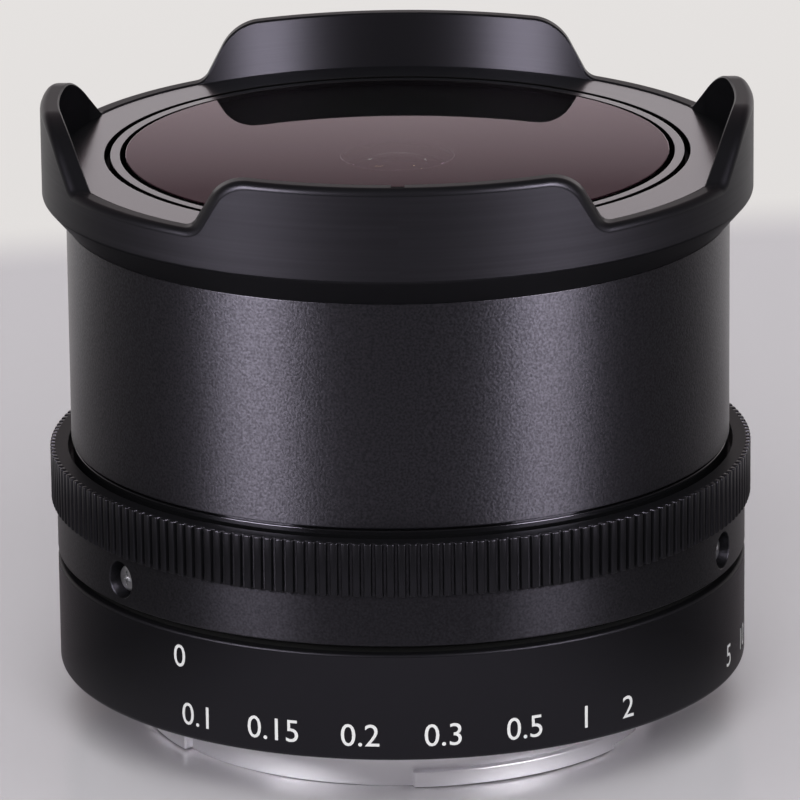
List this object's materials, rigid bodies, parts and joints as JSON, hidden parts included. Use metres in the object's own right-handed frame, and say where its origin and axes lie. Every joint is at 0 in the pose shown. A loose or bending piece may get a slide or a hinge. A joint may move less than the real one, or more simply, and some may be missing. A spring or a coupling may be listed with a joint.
{
  "type": "fisheye lens",
  "caption": "Compact fisheye lens: bayonet mount, base ring, knurled focus ring that drives the optical unit forward, satin barrel and fixed petal hood around a flat front glass.",
  "frame": {"origin": "on the optical axis, in the plane of the mount flange's seat", "axes": "+Z along the optical axis towards the front glass; -Y is the side of the petal with the index notch, which faces the viewer"},
  "size_m": [0.0614, 0.0614, 0.0552],
  "materials": {
    "black_anodised": "satin black anodised",
    "blasted_black": "bead-blasted black anodised",
    "turned_black": "turned black anodised",
    "bright_metal": "fine-turned bright chrome",
    "steel": "bright steel",
    "black_plastic": "matt black",
    "brass": "turned",
    "blackened_metal": "matt black",
    "coated_glass": "polished and coated",
    "glass": "polished and coated"
  },
  "bodies": {
    "base": {"base_ring": "black_anodised", "bayonet_mount": "bright_metal", "mount_screws": "steel", "rear_baffle": "black_plastic", "guide_sleeve": "brass", "sleeve_screws": "steel", "guide_key": "steel", "guide_key_screw": "steel", "stop_pin": "steel", "slip_washer": "black_plastic"},
    "focus_ring": {"focus_ring": "black_anodised", "drive_ring": "brass", "focus_ring_screws": "steel"},
    "optical_unit": {"outer_barrel": "blasted_black", "helicoid_carrier": "brass", "petal_hood": "turned_black", "front_bezel": "turned_black", "front_retaining_ring": "turned_black", "front_element": "coated_glass", "front_cell": "blackened_metal", "second_element": "glass", "second_retaining_ring": "blackened_metal", "lens_tube": "blackened_metal", "third_element": "glass", "third_retaining_ring": "blackened_metal", "spacer_ring": "blackened_metal", "aperture_stop": "blackened_metal", "doublet_crown": "glass", "doublet_flint": "glass", "rear_spacer": "blackened_metal", "rear_element": "glass", "rear_retaining_ring": "blackened_metal"}
  },
  "joints": [
    {"name": "focus_turn", "type": "hinge", "parent": "base", "child": "focus_ring", "pos_m": [0, 0, 0], "axis": [0, 0, 1], "range_deg": [0, 105]},
    {"name": "focus_slide", "type": "slide", "parent": "base", "child": "optical_unit", "axis": [0, 0, 1], "range_m": [0, 0.001]}
  ],
  "couplings": [
    {"joint": "focus_slide", "follows": "focus_turn", "m_per_rad": 0.00054567}
  ]
}
